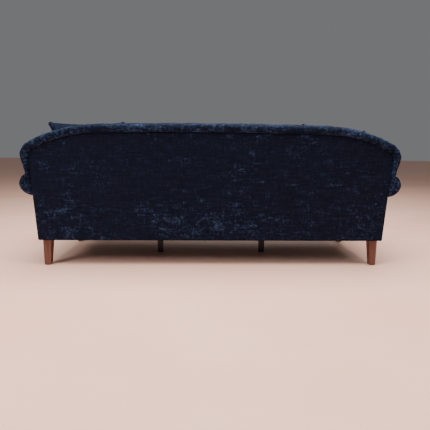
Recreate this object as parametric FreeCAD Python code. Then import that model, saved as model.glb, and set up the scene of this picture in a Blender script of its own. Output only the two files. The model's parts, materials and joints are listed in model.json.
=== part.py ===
import FreeCAD, Part
import math
import os

# Three-seat sofa with scroll arms, an arched back with a rolled edge, and wooden legs.
# Millimetres. +Z is up, the sitter faces -Y, and the sitter's left is +X.
# The origin is on the floor, under the middle of the whole sofa.
# The back is drawn upright and then leaned as one, so sizes on it are along the leaning back.

V = FreeCAD.Vector

# ---- overall sizes ----------------------------------------------------------------------
overall_depth = 920.0      # seat cushion noses to the rear of the back roll
back_height = 910.0        # floor to the top of the back
base_width = 2244.0        # across the outside arms, below the scrolls
leg_height = 178.0         # floor to the underside of the frame
seat_height = 480.0        # floor to the top of the seat cushions

# ---- back ---------------------------------------------------------------------------------
back_rake = 6.5            # degrees that the back leans
corner_radius = 105.0      # where the side of the back turns into the shoulder
shoulder_radius = 950.0
shoulder_slope = 27.0      # degrees, where the corner meets the shoulder
crown_slope = 1.5          # degrees, where the shoulder meets the crown
roll_band = 46.0           # face of the rolled edge that shows beside the panel
roll_proud = 14.0          # how far the roll stands behind the panel
roll_depth = 114.0         # rolled edge, front to rear
roll_softness = 22.0       # rounding of the roll's outer edges
panel_thickness = 8.0      # covered panel: board, thin wadding and cloth
back_thickness = 130.0     # panel face to the front of the inside back
inside_back_rounding = 20.0

# ---- arms -----------------------------------------------------------------------------------
arm_rise = 125.0           # top of the seat cushions to the top of the arm scrolls
arm_width = 156.0          # inside arm at the seat to the outside arm
scroll_radius = 67.0
scroll_overhang = 3.0      # centre of the scroll beyond the outside arm
arm_lean = 38.0            # degrees that the inside arm leans out above its bulge
arm_bulge_radius = 120.0   # padded turn of the inside arm, above the seat
arm_padding = 22.0         # wadding and cloth over the arm's frame
arm_post_gap = 2.0         # outside arm panel to the timber behind it
facing_thickness = 16.0    # covered scroll board on the front of an arm
facing_proud = 8.0         # facing in front of the front border
facing_rounding = 5.0

# ---- seat -----------------------------------------------------------------------------------
cushion_count = 3
cushion_thickness = 156.0
cushion_nose = 20.0        # cushions in front of the front border
cushion_gap = 2.0          # beside each cushion
cushion_rest_gap = 0.5     # under each loose cushion
cushion_rounding = 25.0
cover_thickness = 2.0
border_thickness = 10.0    # padded cloth on the front rail
platform_thickness = 14.0
back_cushion_height = 400.0
back_cushion_thickness = 170.0
back_cushion_rounding = 45.0

# ---- scatter cushions ---------------------------------------------------------------------
scatter_height = 440.0
scatter_foot_depth = 160.0  # front to rear at the foot, where the filling settles
scatter_head_depth = 90.0
scatter_cover = 3.0
scatter_gap = 1.5          # behind each scatter cushion
scatter_stand = 3.5        # under each scatter cushion
scatter_arm_gap = 14.0     # beside the arm
# four reaches of each cushion: foot and head inwards from the inside arm, head outwards over the
# arm, and how much lower the outer end of the head is
scatter_left = (466.0, 381.0, 126.0, 0.0)
scatter_right = (446.0, 354.0, 86.0, 42.0)

# ---- timber frame ---------------------------------------------------------------------------
spring_room = 11.5         # rails to the underside of the platform
rail_thickness = 28.0
board_thickness = 24.0     # scroll-shaped boards at the ends of an arm
back_timber = 30.0         # back posts and top rail, front to rear
back_timber_setback = 16.0  # panel face to the back timber
back_post_width = 50.0
back_rail_depth = 72.0     # top rail, measured down from its upper edge
post_drop = 270.0          # upper edge of the back down to where the side posts meet the top rail
arm_rail_width = 50.0
arm_rail_height = 36.0
cross_rail_width = 30.0
cross_rail_height = 60.0
block_size = 80.0
block_height = 50.0

# ---- springs and webbing --------------------------------------------------------------------
middle_springs = 4         # between the two middle posts of the back
end_springs = 3            # from each middle post to the arm
spring_wire = 4.0
spring_bend = 24.0         # radius of each bend
spring_run = 14.0          # straight part of each bend
spring_lead = 25.0         # straight end under the clip
clip_width = 22.0
clip_length = 14.0
clip_wall = 1.6
strap_count = 7
strap_width = 50.0
strap_thickness = 2.5
strap_spacing = 290.0
strap_foot_gap = 4.0       # rail to the end of a strap

# ---- legs -------------------------------------------------------------------------------------
leg_top = 55.0
leg_foot = 40.0
leg_inset = 20.0           # outside arm to the leg's outer face
leg_setback = 30.0         # foot of the back panel to the rear face of a back leg
front_leg_setback = 66.0   # front of the frame to the front face of a front leg
leg_edge = 3.0
leg_foot_bevel = 2.0
glide_radius = 12.0
glide_height = 4.0
support_size = 40.0
support_spacing = 756.0    # between the two centre supports
support_depth = -7.0       # how far behind the origin they stand
support_edge = 2.5
bolt_radius = 4.0
bolt_in_leg = 50.0
bolt_clearance = 0.3
bolt_end_gap = 1.0         # bolt's tip to the end of its hole
bolt_proud = 3.0           # bolt above its nut
bolt_from_rail = 20.0
nut_radius = 11.0
nut_height = 2.5
cover_sheet = 1.5          # dust cover

# ---- clearances -----------------------------------------------------------------------------
fit = 0.5                  # between padded pieces that meet on a curve
clear = 1.0                # round the legs and beside panels
over = 1.0                 # how far a cutting body runs past what it cuts
same = 1e-6                # places closer than this are one place

# ---- levels and lines worked out from the sizes above -----------------------------------------
rake_sin = math.sin(math.radians(back_rake))
rake_cos = math.cos(math.radians(back_rake))
roll_front = roll_proud - roll_depth
roll_middle = roll_proud - roll_depth / 2
upright_top = leg_height + (back_height - leg_height + roll_middle * rake_sin) / rake_cos
rear_reach = roll_proud * rake_cos + (upright_top - roll_softness - leg_height) * rake_sin
back_foot_y = overall_depth / 2 - rear_reach
cushion_front_y = -overall_depth / 2
border_front_y = cushion_front_y + cushion_nose
facing_front_y = border_front_y - facing_proud
frame_front_y = border_front_y + border_thickness
deck_top = seat_height - cushion_thickness - cushion_rest_gap
rail_top = deck_top - platform_thickness - spring_room
back_rail_y1 = back_foot_y - panel_thickness - arm_post_gap
back_rail_y0 = back_rail_y1 - rail_thickness
half_base = base_width / 2
half_seat = half_base - arm_width
seat_width = 2 * half_seat
half_shoulder = half_base + roll_band    # the back panel lines up with the outside arms
post_top = upright_top - post_drop
timber_out = half_base - panel_thickness - arm_post_gap
board_in = half_seat + arm_padding
side_rail_in = timber_out - rail_thickness
arm_height = seat_height + arm_rise
scroll_x = half_base + scroll_overhang
scroll_z = arm_height - scroll_radius
timber_rear_t = -back_timber_setback
timber_front_t = timber_rear_t - back_timber
support_x = support_spacing / 2
board_front_y1 = frame_front_y + board_thickness
board_rear_y0 = back_rail_y0 - board_thickness


# ---- helpers ----------------------------------------------------------------------------------
def block(x0, x1, y0, y1, z0, z1):
    """A box from its lowest corner to its highest."""
    return Part.makeBox(x1 - x0, y1 - y0, z1 - z0, V(x0, y0, z0))


def slab(edges, y0, y1):
    """An outline in the X-Z plane, given thickness along Y."""
    face = Part.Face(Part.Wire(edges))
    face.translate(V(0, y0, 0))
    return face.extrude(V(0, y1 - y0, 0))


def polygon(points):
    """Edges of a closed outline in the X-Z plane."""
    corners = [V(x, 0, z) for x, z in points]
    return Part.makePolygon(corners + corners[:1]).Edges


def arc(centre, radius, start, middle, end):
    """An arc in the X-Z plane; angles in degrees from +X towards +Z."""
    ends = []
    for angle in (start, middle, end):
        turn = math.radians(angle)
        ends.append(V(centre[0] + radius * math.cos(turn), 0, centre[1] + radius * math.sin(turn)))
    return Part.Arc(*ends).toShape()


def line(a, b):
    """A straight edge in the X-Z plane."""
    return Part.LineSegment(V(a[0], 0, a[1]), V(b[0], 0, b[1])).toShape()


def mirrored(shape):
    """The same piece for the other side of the sofa."""
    return shape.mirror(V(0, 0, 0), V(1, 0, 0))


def lean(shape):
    """An upright piece of the back, leaned about the foot of the back panel."""
    return shape.rotated(V(0, back_foot_y, leg_height), V(1, 0, 0), -back_rake)


def on_back(edges, rear_t, front_t):
    """A slab of the upright back; t is measured from the panel's rear face, + to the rear."""
    return slab(edges, back_foot_y + front_t, back_foot_y + rear_t)


def behind(t):
    """All the space behind a plane that is parallel to the back."""
    room = overall_depth
    return lean(block(-base_width, base_width, back_foot_y + t, back_foot_y + room, -room, 2 * room))


def leaned_y(t, z):
    """Y of a plane parallel to the back, at a height above the floor."""
    return back_foot_y + (t + (z - leg_height) * rake_sin) / rake_cos


def rising_edges(body):
    """Edges that climb more than they travel sideways."""
    return [e for e in body.Edges if abs(e.tangentAt(e.FirstParameter).z) > math.sqrt(0.5)]


def group(solids):
    """Separate solids in one node."""
    return Part.makeCompound(solids)


def save(name, shape):
    """One STEP file per node."""
    shape.exportStep("parts/" + name + ".step")


# ---- outlines -----------------------------------------------------------------------------------
def arch(inset, foot):
    """Outline of the upright back, a given distance inside its outer edge."""
    slope = math.radians(shoulder_slope)
    crown = math.radians(crown_slope)
    corner = corner_radius - inset
    shoulder = shoulder_radius - inset
    side = half_shoulder - inset
    corner_x = half_shoulder - corner_radius
    meet_x = corner_x + corner * math.sin(slope)
    shoulder_x = meet_x - shoulder * math.sin(slope)
    crown_radius = (shoulder_x + shoulder * math.sin(crown)) / math.sin(crown)
    crown_z = upright_top - inset - crown_radius
    shoulder_z = crown_z + (crown_radius - shoulder) * math.cos(crown)
    corner_z = shoulder_z + (shoulder - corner) * math.cos(slope)
    turn = 90 - shoulder_slope
    level = 90 - crown_slope
    edges = [line((-side, foot), (side, foot)), line((side, foot), (side, corner_z))]
    edges.append(arc((corner_x, corner_z), corner, 0, turn / 2, turn))
    edges.append(arc((shoulder_x, shoulder_z), shoulder, turn, (turn + level) / 2, level))
    edges.append(arc((0, crown_z), crown_radius, level, 90, 180 - level))
    middle = 180 - (turn + level) / 2
    edges.append(arc((-shoulder_x, shoulder_z), shoulder, 180 - level, middle, 180 - turn))
    edges.append(arc((-corner_x, corner_z), corner, 180 - turn, 180 - turn / 2, 180))
    edges.append(line((-side, corner_z), (-side, foot)))
    return edges


def arm_outline(inset, foot, outer_x):
    """Outline of the left arm from the front: leaning inside face, scroll, outside face."""
    radius = scroll_radius - inset
    bulge = arm_bulge_radius - inset
    tangent = 180 - arm_lean
    out = math.cos(math.radians(arm_lean))
    up = math.sin(math.radians(arm_lean))
    inner_x = half_seat + inset
    bulge_x = half_seat + arm_bulge_radius
    bulge_z = scroll_z - ((scroll_x - bulge_x) * out + arm_bulge_radius - scroll_radius) / up
    bulge_end = (bulge_x - bulge * out, bulge_z + bulge * up)
    top_in = (scroll_x - radius * out, scroll_z + radius * up)
    under = -90 - math.degrees(math.asin((scroll_x - outer_x) / radius))
    under_z = scroll_z + radius * math.sin(math.radians(under))
    return [
        line((inner_x, foot), (inner_x, bulge_z)),
        arc((bulge_x, bulge_z), bulge, 180, 180 - arm_lean / 2, tangent),
        line(bulge_end, top_in),
        arc((scroll_x, scroll_z), radius, tangent, (tangent + under) / 2, under),
        line((outer_x, under_z), (outer_x, foot)),
        line((outer_x, foot), (inner_x, foot)),
    ]


def arm_space(grow, y0, y1):
    """Everything that the left arm takes up, from its facing to its rear end."""
    return slab(arm_outline(-grow, leg_height - grow, half_base + grow), y0, y1)


# ---- timber frame -------------------------------------------------------------------------------
def front_seat_rail():
    return block(-board_in, board_in, frame_front_y, frame_front_y + rail_thickness, leg_height, rail_top)


def back_seat_rail():
    return block(-timber_out, timber_out, back_rail_y0, back_rail_y1, leg_height, rail_top)


def side_rail():
    return block(side_rail_in, timber_out, board_front_y1, back_rail_y0, leg_height, rail_top)


def cross_rails():
    y0 = frame_front_y + rail_thickness
    half = cross_rail_width / 2
    top = leg_height + cross_rail_height
    places = (-support_x, support_x)
    return group([block(x - half, x + half, y0, back_rail_y0, leg_height, top) for x in places])


def bolt_places():
    """Centres of the four leg bolts."""
    x = side_rail_in - bolt_from_rail
    rear = back_foot_y - leg_setback - leg_top / 2
    front = frame_front_y + front_leg_setback + leg_top / 2
    return [(sign * x, y) for sign in (-1, 1) for y in (front, rear)]


def bolt_hole(x, y, z0, z1):
    return Part.makeCylinder(bolt_radius + bolt_clearance, z1 - z0, V(x, y, z0))


def corner_blocks():
    solids = []
    for x, y in bolt_places():
        side = 1 if x > 0 else -1
        x0, x1 = sorted((side * side_rail_in, side * (side_rail_in - block_size)))
        rear = y > 0
        y0 = back_rail_y0 - block_size if rear else board_front_y1
        body = block(x0, x1, y0, y0 + block_size, leg_height, leg_height + block_height)
        solids.append(body.cut(bolt_hole(x, y, leg_height, leg_height + block_height)))
    return group(solids)


def back_top_rail():
    outer = on_back(arch(roll_band + fit, post_top), timber_rear_t, timber_front_t)
    side = half_shoulder - roll_band - fit - back_post_width
    inner_top = upright_top - roll_band - back_rail_depth
    opening = polygon([(-side, 0), (side, 0), (side, post_top), (side / 2, inner_top),
                       (-side / 2, inner_top), (-side, post_top)])
    return lean(outer.cut(on_back(opening, timber_rear_t + clear, timber_front_t - clear)))


def upright_post(x0, x1, top):
    """A post of the back that stands on the back seat rail."""
    post = polygon([(x0, leg_height), (x1, leg_height), (x1, top), (x0, top)])
    below = block(-base_width, base_width, -overall_depth, overall_depth, -over, rail_top)
    return lean(on_back(post, timber_rear_t, timber_front_t)).cut(below)


def back_post():
    outer = min(half_shoulder - roll_band - fit, timber_out)
    return upright_post(outer - back_post_width, outer, post_top)


def back_mid_posts():
    half = cross_rail_width / 2
    top = upright_top - roll_band - back_rail_depth
    return group([upright_post(x - half, x + half, top) for x in (-support_x, support_x)])


def arm_board_front():
    return slab(arm_outline(arm_padding, leg_height, timber_out), frame_front_y, board_front_y1)


def arm_board_rear():
    return slab(arm_outline(arm_padding, rail_top, timber_out), board_rear_y0, back_rail_y0)


def arm_top_rail():
    x0 = scroll_x - arm_rail_width / 2
    z0 = scroll_z - arm_rail_height / 2
    return block(x0, x0 + arm_rail_width, board_front_y1, board_rear_y0, z0, z0 + arm_rail_height)


# ---- springs, webbing and cloth sheets ------------------------------------------------------------
def spring_rows():
    """X of each spring: evenly spread in each bay of the seat, clear of the middle posts."""
    rows = []
    bays = [(-half_seat, -support_x, end_springs), (-support_x, support_x, middle_springs),
            (support_x, half_seat, end_springs)]
    for start, end, count in bays:
        rows += [start + (end - start) * (i + 0.5) / count for i in range(count)]
    return rows


def spring():
    """One serpentine spring in the X-Y plane, from the front rail to the back rail."""
    y0 = frame_front_y + rail_thickness / 2
    y1 = back_rail_y0 + rail_thickness / 2
    z = rail_top + spring_wire / 2 + clear
    bends = int((y1 - y0 - 2 * spring_lead) / (2 * spring_bend))
    lead = (y1 - y0 - bends * 2 * spring_bend) / 2
    bend = spring_bend
    run = spring_run
    edges = []
    y = y0 + lead
    edges.append(Part.LineSegment(V(0, y0, z), V(0, y, z)).toShape())
    side = 1
    for _ in range(bends):
        diagonal = bend * math.sqrt(0.5)
        start = V(0, y, z)
        out = V(side * (bend + run), y + bend, z)
        if run > 0:
            edges.append(Part.LineSegment(start, V(side * run, y, z)).toShape())
        corner = side * (run + diagonal)
        edges.append(Part.Arc(V(side * run, y, z), V(corner, y + bend - diagonal, z), out).toShape())
        end = V(side * run, y + 2 * bend, z)
        edges.append(Part.Arc(out, V(corner, y + bend + diagonal, z), end).toShape())
        edges.append(Part.LineSegment(end, V(0, y + 2 * bend, z)).toShape())
        y += 2 * bend
        side = -side
    edges.append(Part.LineSegment(V(0, y, z), V(0, y1, z)).toShape())
    half = spring_wire / 2
    lead_in = Part.makeCylinder(half, lead, V(0, y0, z), V(0, 1, 0))
    lead_out = Part.makeCylinder(half, lead, V(0, y1 - lead, z), V(0, 1, 0))
    solids = [lead_in, lead_out]
    wave = Part.Wire(edges[1:-1])
    section = Part.Wire(Part.makeCircle(half, wave.OrderedVertexes[0].Point, V(1, 0, 0)))
    solids.append(wave.makePipeShell([section], True, False))
    knots = [Part.makeSphere(half, V(0, y0 + lead, z)), Part.makeSphere(half, V(0, y1 - lead, z))]
    return solids[0].multiFuse(solids[1:] + knots).removeSplitter()


def seat_springs():
    solids = []
    one = spring()
    for x in spring_rows():
        solids.append(one.translated(V(x, 0, 0)))
    return group(solids)


def spring_clips():
    solids = []
    top = rail_top + clear + spring_wire + fit
    half = clip_width / 2
    inside = half - clip_wall
    for x in spring_rows():
        for y in (frame_front_y + rail_thickness / 2, back_rail_y1 - rail_thickness / 2 - clip_length):
            body = block(x - half, x + half, y, y + clip_length, rail_top, top + clip_wall)
            room = block(x - inside, x + inside, y - over, y + clip_length + over, rail_top - over, top)
            solids.append(body.cut(room))
    return group(solids)


def back_webbing():
    solids = []
    within = on_back(arch(roll_band + back_rail_depth / 4, rail_top), timber_rear_t, -back_thickness)
    foot = rail_top + strap_foot_gap
    half = strap_width / 2
    rear_y = back_foot_y + timber_front_t - clear
    for i in range(strap_count):
        x = (i - (strap_count - 1) / 2) * strap_spacing
        strap = block(x - half, x + half, rear_y - strap_thickness, rear_y, foot, upright_top)
        solids.append(lean(strap.common(within)))
    return group(solids)


def seat_platform():
    half = half_seat - cushion_gap
    foot = deck_top - platform_thickness
    return block(-half, half, frame_front_y + clear, back_rail_y0 - clear, foot, deck_top)


def leg_outer_y(rear):
    """Y of the upright face of a leg that looks away from the sofa's middle."""
    return back_foot_y - leg_setback if rear else frame_front_y + front_leg_setback


def leg_box(x_sign, rear, grow):
    """The space that a leg takes up at the frame."""
    x1 = half_base - leg_inset + grow
    x0 = x1 - leg_top - 2 * grow
    y0 = leg_outer_y(rear) - (leg_top if rear else 0) - grow
    y1 = y0 + leg_top + 2 * grow
    if x_sign < 0:
        x0, x1 = -x1, -x0
    return block(x0, x1, y0, y1, 0, leg_height)


def dust_cover():
    sheet = block(-timber_out, timber_out, frame_front_y, back_rail_y1, leg_height - cover_sheet, leg_height)
    half = support_size / 2 + clear
    y0 = support_depth - half
    y1 = support_depth + half
    for x_sign in (-1, 1):
        for rear in (False, True):
            sheet = sheet.cut(leg_box(x_sign, rear, clear))
        x = x_sign * support_x
        sheet = sheet.cut(block(x - half, x + half, y0, y1, 0, leg_height))
    return sheet


# ---- legs -----------------------------------------------------------------------------------------
def leg(rear):
    """Left leg: its outer face and its face towards the end of the sofa are upright."""
    x1 = half_base - leg_inset
    y_out = leg_outer_y(rear)
    inward = -1 if rear else 1
    wires = []
    for z, size in ((glide_height, leg_foot), (leg_height, leg_top)):
        corners = [V(x1, y_out, z), V(x1 - size, y_out, z), V(x1 - size, y_out + inward * size, z),
                   V(x1, y_out + inward * size, z)]
        wires.append(Part.makePolygon(corners + corners[:1]))
    body = Part.makeLoft(wires, True, True)
    body = body.makeFillet(leg_edge, rising_edges(body))
    foot = [e for e in body.Edges if e.BoundBox.ZMax < glide_height + over]
    body = body.makeChamfer(leg_foot_bevel, foot)
    x, y = [place for place in bolt_places() if place[0] > 0 and (place[1] > 0) == rear][0]
    return body.cut(bolt_hole(x, y, leg_height - bolt_in_leg, leg_height + over))


def glide_centres():
    half = leg_foot / 2
    x = half_base - leg_inset - half
    rear = leg_outer_y(True) - half
    front = leg_outer_y(False) + half
    corners = [(sign * x, y) for sign in (-1, 1) for y in (front, rear)]
    return corners + [(-support_x, support_depth), (support_x, support_depth)]


def leg_glides():
    return group([Part.makeCylinder(glide_radius, glide_height, V(x, y, 0)) for x, y in glide_centres()])


def centre_support():
    half = support_size / 2
    body = block(support_x - half, support_x + half, support_depth - half, support_depth + half,
                 glide_height, leg_height)
    return body.makeFillet(support_edge, rising_edges(body))


def leg_bolts():
    z0 = leg_height - bolt_in_leg + bolt_end_gap
    length = leg_height + block_height + nut_height + bolt_proud - z0
    return group([Part.makeCylinder(bolt_radius, length, V(x, y, z0)) for x, y in bolt_places()])


def leg_t_nuts():
    z0 = leg_height + block_height
    solids = []
    for x, y in bolt_places():
        disc = Part.makeCylinder(nut_radius, nut_height, V(x, y, z0))
        solids.append(disc.cut(bolt_hole(x, y, z0 - over, z0 + nut_height + over)))
    return group(solids)


# ---- covered panels and padding ---------------------------------------------------------------------
def outside_back_panel():
    return lean(on_back(arch(roll_band + clear, leg_height), 0, -panel_thickness))


def back_top_roll():
    foot = arm_height - scroll_radius
    outer = on_back(arch(0, foot), roll_proud, roll_front)
    rim = []
    for edge in outer.Edges:
        box = edge.BoundBox
        on_face = box.YLength < same
        if on_face and box.ZMax > foot + over:
            rim.append(edge)
    outer = outer.makeFillet(roll_softness, rim)
    inner = on_back(arch(roll_band, foot - over), roll_proud + over, roll_front - over)
    band = lean(outer.cut(inner))
    arm = arm_space(fit, facing_front_y, overall_depth)
    return band.cut(arm).cut(mirrored(arm))


def inside_back_pad():
    rear = timber_front_t - clear - strap_thickness - clear
    body = on_back(arch(roll_band + clear, leg_height), rear, -back_thickness)
    front = back_foot_y - back_thickness
    rim = []
    for edge in body.Edges:
        box = edge.BoundBox
        if box.YMax < front + same and box.ZMax > leg_height + over:
            rim.append(edge)
    body = lean(body.makeFillet(inside_back_rounding, rim))
    body = body.cut(block(-base_width, base_width, -overall_depth, overall_depth, 0, deck_top + clear))
    arm = arm_space(fit, facing_front_y, overall_depth)
    return body.cut(arm).cut(mirrored(arm))


def arm_rear_limit():
    return behind(-panel_thickness - clear)


def outside_arm():
    top = scroll_z - scroll_radius
    body = block(half_base - panel_thickness, half_base, facing_front_y + facing_thickness, overall_depth / 2,
                 leg_height, top)
    return body.cut(arm_rear_limit())


def arm_pad():
    y0 = facing_front_y + facing_thickness
    y1 = overall_depth / 2
    whole = slab(arm_outline(0, rail_top, half_base), y0, y1)
    core = slab(arm_outline(arm_padding, rail_top - over, timber_out), y0 - over, y1 + over)
    panel_top = scroll_z - scroll_radius + 2 * clear
    beside_panel = block(timber_out - over, half_base + over, y0 - over, y1 + over, 0, panel_top)
    body = whole.cut(core).cut(beside_panel).cut(arm_rear_limit())
    return body.cut(back_post()).cut(back_top_rail())


def arm_rear_cap():
    """Cloth and card that close the scroll beside the outside back panel."""
    foot = scroll_z - scroll_radius
    body = slab(arm_outline(0, foot - scroll_radius, half_base), 0, overall_depth)
    body = body.cut(block(0, half_base, -over, overall_depth + over, 0, arm_height + over))
    return body.common(arm_rear_limit()).cut(behind(0))


def arm_facing():
    y0 = facing_front_y
    body = slab(arm_outline(0, leg_height, half_base), y0, y0 + facing_thickness)
    rim = []
    for edge in body.Edges:
        box = edge.BoundBox
        if box.YMax < y0 + same and box.ZMax > leg_height + over:
            rim.append(edge)
    return body.makeFillet(facing_rounding, rim)


def seat_front_border():
    half = half_seat - clear
    return block(-half, half, border_front_y, frame_front_y, leg_height, deck_top - clear)


# ---- loose cushions -----------------------------------------------------------------------------------
def cushion_columns():
    """Lowest and highest X of each seat and back cushion, from the sitter's right to left."""
    width = (seat_width - (cushion_count + 1) * cushion_gap) / cushion_count
    starts = [-half_seat + cushion_gap + i * (width + cushion_gap) for i in range(cushion_count)]
    return [(x, x + width) for x in starts]


def soft_box(x0, x1, y0, y1, z0, z1, rounding, inset):
    """A rounded box, made smaller all round by the inset."""
    body = block(x0 + inset, x1 - inset, y0 + inset, y1 - inset, z0 + inset, z1 - inset)
    return body.makeFillet(rounding - inset, body.Edges)


def seat_cushion(column, inset):
    rear = leaned_y(-back_thickness, deck_top) - 2 * cushion_gap
    return soft_box(column[0], column[1], cushion_front_y, rear, deck_top + cushion_rest_gap, seat_height,
                    cushion_rounding, inset)


def back_cushion(column, inset):
    rear = back_foot_y - back_thickness - clear
    front = rear - back_cushion_thickness
    # the lowest line of the leaned cushion is on its rounded rear edge, and clears the seat
    edge_t = -back_thickness - clear - back_cushion_rounding
    low = seat_height + clear + back_cushion_rounding
    foot = leg_height + (low - leg_height + edge_t * rake_sin) / rake_cos - back_cushion_rounding
    return lean(soft_box(column[0], column[1], front, rear, foot, foot + back_cushion_height,
                         back_cushion_rounding, inset))


def scatter(reaches, inset):
    """A settled cushion beside the left arm, thicker at its foot than at its head."""
    foot_in, head_in, head_out, slump = reaches
    low = seat_height
    high = low + scatter_height
    rear = -back_thickness - back_cushion_thickness - clear - scatter_gap - inset
    lift = leg_height + (low + scatter_stand - leg_height + rear * rake_sin) / rake_cos - low
    corners = [(half_seat - foot_in, low), (half_seat + head_out, low), (half_seat + head_out, high - slump),
               (half_seat - head_in, high)]
    face = Part.Face(Part.Wire(polygon([(x, z + lift) for x, z in corners])))
    if inset:
        face = Part.Face(face.makeOffset2D(-inset, 2).Wires)
    deep = rear - scatter_foot_depth
    face.translate(V(0, back_foot_y + deep, 0))
    body = face.extrude(V(0, scatter_foot_depth, 0))
    thinning = scatter_foot_depth - scatter_head_depth
    extra = thinning + inset * thinning / scatter_height
    foot_y = back_foot_y + deep + 2 * inset
    far_y = foot_y - overall_depth
    wedge = [V(-base_width, foot_y, low + lift), V(-base_width, foot_y + extra, high + lift),
             V(-base_width, far_y, high + lift), V(-base_width, far_y, low + lift)]
    cutter = Part.Face(Part.makePolygon(wedge + wedge[:1])).extrude(V(2 * base_width, 0, 0))
    return lean(body.cut(cutter)).cut(arm_space(scatter_arm_gap + inset, facing_front_y, overall_depth))


def main():
    os.makedirs("parts", exist_ok=True)
    save("front_seat_rail", front_seat_rail())
    save("back_seat_rail", back_seat_rail())
    save("cross_rails", cross_rails())
    save("corner_blocks", corner_blocks())
    save("back_top_rail", back_top_rail())
    save("back_mid_posts", back_mid_posts())
    save("seat_springs", seat_springs())
    save("spring_clips", spring_clips())
    save("back_webbing", back_webbing())
    save("seat_platform", seat_platform())
    save("dust_cover", dust_cover())
    save("leg_glides", leg_glides())
    save("leg_bolts", leg_bolts())
    save("leg_t_nuts", leg_t_nuts())
    save("outside_back_panel", outside_back_panel())
    save("back_top_roll", back_top_roll())
    save("inside_back_pad", inside_back_pad())
    save("seat_front_border", seat_front_border())
    pairs = {
        "side_rail": side_rail(),
        "back_post": back_post(),
        "arm_board_front": arm_board_front(),
        "arm_board_rear": arm_board_rear(),
        "arm_top_rail": arm_top_rail(),
        "leg_front": leg(False),
        "leg_back": leg(True),
        "centre_support": centre_support(),
        "outside_arm": outside_arm(),
        "arm_pad": arm_pad(),
        "arm_facing": arm_facing(),
        "arm_rear_cap": arm_rear_cap(),
    }
    for name, shape in pairs.items():
        save(name + "_left", shape)
        save(name + "_right", mirrored(shape))
    for place, column in zip(("right", "centre", "left"), cushion_columns()):
        core = seat_cushion(column, cover_thickness)
        save("seat_cushion_core_" + place, core)
        save("seat_cushion_cover_" + place, seat_cushion(column, 0).cut(core))
        filling = back_cushion(column, cover_thickness)
        save("back_cushion_filling_" + place, filling)
        save("back_cushion_cover_" + place, back_cushion(column, 0).cut(filling))
    left_pad = scatter(scatter_left, scatter_cover)
    save("scatter_pad_left", left_pad)
    save("scatter_cover_left", scatter(scatter_left, 0).cut(left_pad))
    right_pad = scatter(scatter_right, scatter_cover)
    save("scatter_pad_right", mirrored(right_pad))
    save("scatter_cover_right", mirrored(scatter(scatter_right, 0).cut(right_pad)))


main()
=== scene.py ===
# %% [markdown]
# # A long velvet sofa with wooden legs
# The timber, the legs, the sizes and the joints come from the CAD model. This script makes the parts that
# an upholsterer makes: covers, padding, piping and cushions. Each step says what the piece is on the real
# sofa, how it could be made here, and why one way was chosen.

# %% Load the frame and keep its box
import json
import math

import bmesh
import bpy
from mathutils import Matrix, Vector, noise


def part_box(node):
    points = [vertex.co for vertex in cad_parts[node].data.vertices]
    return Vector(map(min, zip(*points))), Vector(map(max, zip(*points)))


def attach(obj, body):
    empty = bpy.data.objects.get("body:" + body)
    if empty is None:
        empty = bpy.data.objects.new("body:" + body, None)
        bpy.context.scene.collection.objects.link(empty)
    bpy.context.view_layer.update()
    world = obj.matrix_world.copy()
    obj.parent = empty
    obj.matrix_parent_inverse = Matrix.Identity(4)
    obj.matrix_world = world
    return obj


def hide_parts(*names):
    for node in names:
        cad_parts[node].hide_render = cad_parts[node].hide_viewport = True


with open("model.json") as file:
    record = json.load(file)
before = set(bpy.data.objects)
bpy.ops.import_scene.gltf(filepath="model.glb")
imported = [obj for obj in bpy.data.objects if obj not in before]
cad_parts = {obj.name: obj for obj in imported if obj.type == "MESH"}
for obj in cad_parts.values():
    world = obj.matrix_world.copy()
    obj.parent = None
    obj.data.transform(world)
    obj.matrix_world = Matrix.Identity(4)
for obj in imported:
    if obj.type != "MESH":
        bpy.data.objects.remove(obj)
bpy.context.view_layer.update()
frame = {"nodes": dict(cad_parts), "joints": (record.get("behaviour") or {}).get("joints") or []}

# %% [markdown]
# ## Lines that the whole sofa is set out from
# An upholsterer works from the frame, so every place here is read from the CAD nodes. The back leans, and
# the joint that lifts a back cushion runs along it, so that joint's axis gives the lean.

# %% Lean of the back, and a way to place points on it
lift_axis = [j["axis"] for j in frame["joints"] if j["name"] == "back_cushion_centre_lift"][0]
rake_sin, rake_cos = lift_axis[1], lift_axis[2]
panel_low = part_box("outside_back_panel")[0]
panel_cloth = 0.008
leg_top = panel_low.z
back_foot_y = panel_low.y + panel_cloth * rake_cos


def on_back(x, up, rear):
    """A point of the leaning back: up from its foot along the lean, rear from the panel's face."""
    y = back_foot_y + up * rake_sin + rear * rake_cos
    return Vector((x, y, leg_top + up * rake_cos - rear * rake_sin))


def back_plane_y(z, rear):
    """Y of a plane parallel to the back, at a height above the floor."""
    return back_foot_y + (rear + (z - leg_top) * rake_sin) / rake_cos


print("foot of the back at y", round(back_foot_y, 3), "lean", round(math.degrees(math.asin(rake_sin)), 2))

# %% [markdown]
# ## Ways of making cloth
# Most covers on a sofa are flat cloth pulled over something, so most pieces here start as a grid from
# `create_grid`, which is then laid over its shape. A tube is the same grid with two edges merged.

# %% A grid laid over a shape, and its finishing
def new_piece(name, bm, material=None, smooth=True):
    """Turns a bmesh into an object at the origin."""
    mesh = bpy.data.meshes.new(name)
    bm.to_mesh(mesh)
    bm.free()
    for polygon in mesh.polygons:
        polygon.use_smooth = smooth
    piece = bpy.data.objects.new(name, mesh)
    bpy.context.scene.collection.objects.link(piece)
    if material:
        mesh.materials.append(material)
    return piece


def grid_over(columns, rows, place):
    """A grid whose points go where place(u, v) says, with u and v from 0 to 1."""
    bm = bmesh.new()
    bmesh.ops.create_grid(bm, x_segments=columns, y_segments=rows, size=1)
    for vert in bm.verts:
        vert.co = place((vert.co.x + 1) / 2, (vert.co.y + 1) / 2)
    return bm


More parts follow.
